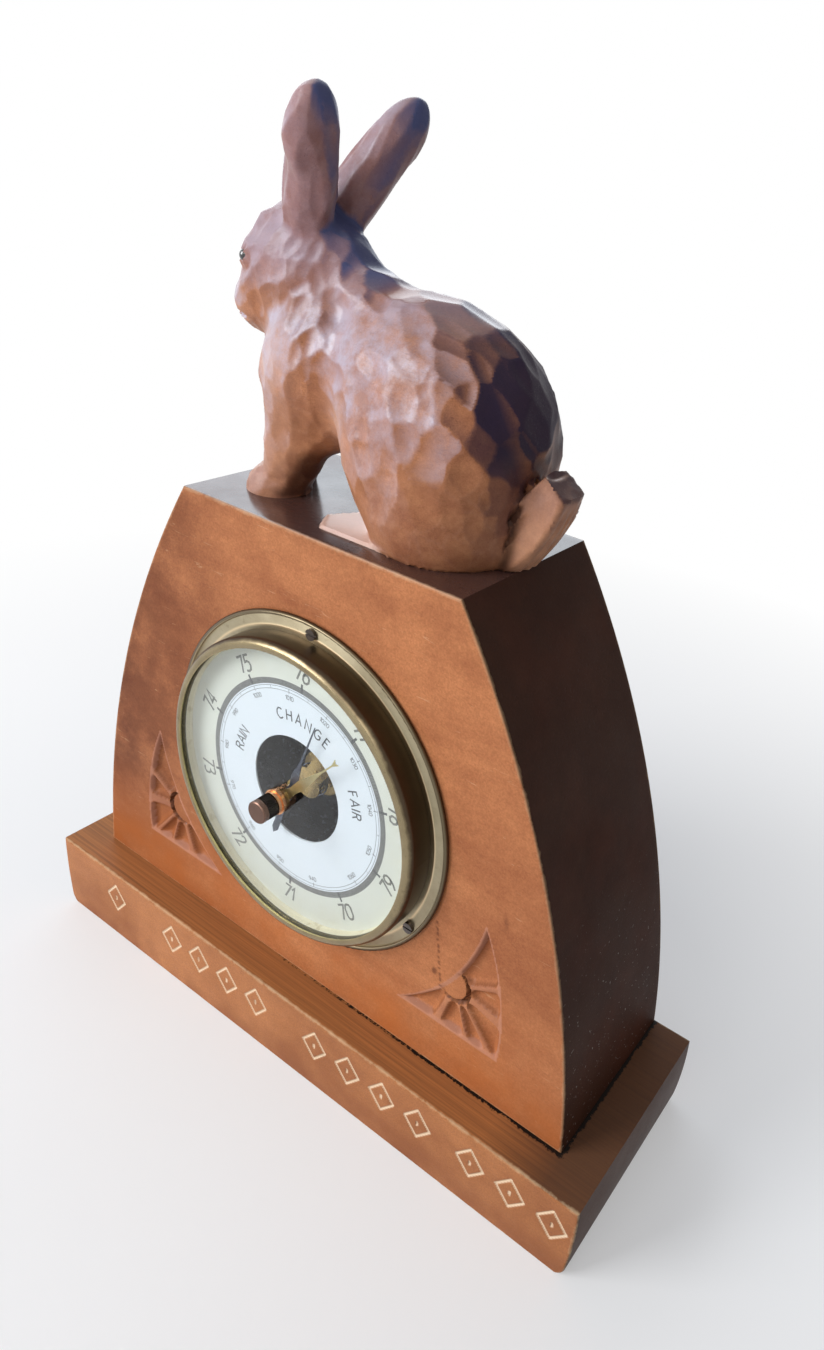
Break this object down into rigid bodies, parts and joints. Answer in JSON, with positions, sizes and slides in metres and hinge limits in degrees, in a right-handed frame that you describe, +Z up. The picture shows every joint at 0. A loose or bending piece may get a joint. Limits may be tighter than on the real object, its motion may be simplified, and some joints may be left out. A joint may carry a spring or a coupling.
{
  "type": "carved barometer",
  "caption": "Table barometer in a bowed wooden case on a plinth, with a domed glass dial, an aneroid movement behind it and a carved rabbit on top.",
  "frame": {"origin": "middle of the whole object's outline, on the surface that it stands on", "axes": "+X to the right as the dial is read, +Y to the back, +Z up; the dial faces -Y"},
  "size_m": [0.2502, 0.0822, 0.3221],
  "materials": {
    "plinth_wood": "waxed oiled wood, dark on top, worn pale at the front edge",
    "case_wood": "waxed warm brown wood, darker on its sides",
    "rabbit_wood": "waxed red-brown wood with cut facets",
    "dowel_wood": "plain turned beech",
    "eye_glass": "dark glossy beads",
    "case_brass": "aged brass, olive-gold",
    "movement_brass": "bright brass",
    "knob_brass": "browned brass",
    "knob_grip": "blackened, knurled",
    "ferrule_brass": "copper-coloured brass",
    "screw_steel": "dull steel",
    "dark_screw": "darkened steel",
    "arbor_steel": "polished steel",
    "blued_steel": "blued steel",
    "spring_steel": "blued spring steel",
    "pan_paint": "dark crackle paint",
    "capsule_metal": "dark lacquered sheet",
    "dial_paint": "printed matt silver-white",
    "spacer_paint": "cream lacquer",
    "gasket_paper": "pressed paper ring",
    "glass": "clear domed glass"
  },
  "bodies": {
    "case": {"plinth": "plinth_wood", "case_block": "case_wood", "foot_screws": "screw_steel", "rabbit": "rabbit_wood", "rabbit_eyes": "eye_glass", "rabbit_dowels": "dowel_wood", "flange": "case_brass", "flange_screws": "dark_screw", "bezel": "case_brass", "glass": "glass", "gasket": "gasket_paper", "spacer_ring": "spacer_paint", "dial": "dial_paint", "pan": "pan_paint", "pan_screws": "screw_steel", "base_plate": "pan_paint", "capsule_leaf": "movement_brass", "leaf_rivet": "movement_brass", "capsule_back": "capsule_metal", "capsule_front": "capsule_metal", "lever_bracket": "movement_brass", "bracket_screws": "screw_steel", "foot_bracket": "movement_brass", "hanger_bracket": "movement_brass", "lower_plate": "movement_brass", "movement_posts": "movement_brass", "post_screws": "screw_steel", "upper_plate": "movement_brass", "plate_pillars": "movement_brass", "pillar_screws": "screw_steel", "hairspring_stud": "movement_brass", "ferrule": "ferrule_brass", "ferrule_nut": "movement_brass"},
    "stud": {"capsule_stud": "movement_brass"},
    "main_lever": {"main_lever": "movement_brass", "lever_shaft": "arbor_steel"},
    "rocking_shaft": {"rocking_shaft": "arbor_steel"},
    "sector": {"sector": "movement_brass", "sector_arbor": "arbor_steel", "sector_pin": "arbor_steel"},
    "pointer": {"pointer_arbor": "arbor_steel", "hairspring_collet": "movement_brass", "hairspring": "spring_steel", "pointer_boss": "movement_brass", "pointer": "blued_steel"},
    "set_hand": {"set_hand": "movement_brass", "set_shaft": "movement_brass", "friction_washer": "arbor_steel", "set_knob": "knob_grip", "knob_cap": "knob_brass"},
    "adjusting_screw": {"adjusting_screw": "movement_brass"}
  },
  "joints": [
    {"name": "pointer_spin", "type": "hinge", "parent": "case", "child": "pointer", "pos_m": [0, -0.0259, 0.1135], "axis": [0, 1, 0], "range_deg": [-233.2, 90.8], "deforming": ["hairspring"]},
    {"name": "sector_swing", "type": "hinge", "parent": "case", "child": "sector", "pos_m": [0.01262, -0.0149, 0.13152], "axis": [0, 1, 0], "range_deg": [-9.1, 23.4]},
    {"name": "rocking_shaft_rock", "type": "hinge", "parent": "case", "child": "rocking_shaft", "pos_m": [0.01392, -0.0016, 0.1135], "axis": [0, 0, 1], "range_deg": [-16.1, 6.3]},
    {"name": "main_lever_tilt", "type": "hinge", "parent": "case", "child": "main_lever", "pos_m": [-0.01692, 0.0016, 0.13948], "axis": [-0.8379, 0, -0.5458], "range_deg": [-0.3, 0.78], "stiffness_Nm_per_rad": 45},
    {"name": "capsule_stud_lift", "type": "slide", "parent": "case", "child": "stud", "axis": [0, -1, 0], "range_m": [-0.000166, 0.000424], "deforming": ["capsule_front"]},
    {"name": "set_hand_turn", "type": "hinge", "parent": "case", "child": "set_hand", "pos_m": [0, -0.0309, 0.1135], "axis": [0, 1, 0], "continuous": true},
    {"name": "adjusting_screw_turn", "type": "hinge", "parent": "case", "child": "adjusting_screw", "pos_m": [0, 0.0161, 0.1135], "axis": [0, 1, 0], "continuous": true}
  ],
  "couplings": [
    {"joint": "pointer_spin", "follows": "main_lever_tilt", "ratio": -299.67},
    {"joint": "sector_swing", "follows": "main_lever_tilt", "ratio": 29.967},
    {"joint": "rocking_shaft_rock", "follows": "main_lever_tilt", "ratio": -20.667},
    {"joint": "capsule_stud_lift", "follows": "main_lever_tilt", "m_per_rad": 0.031}
  ]
}
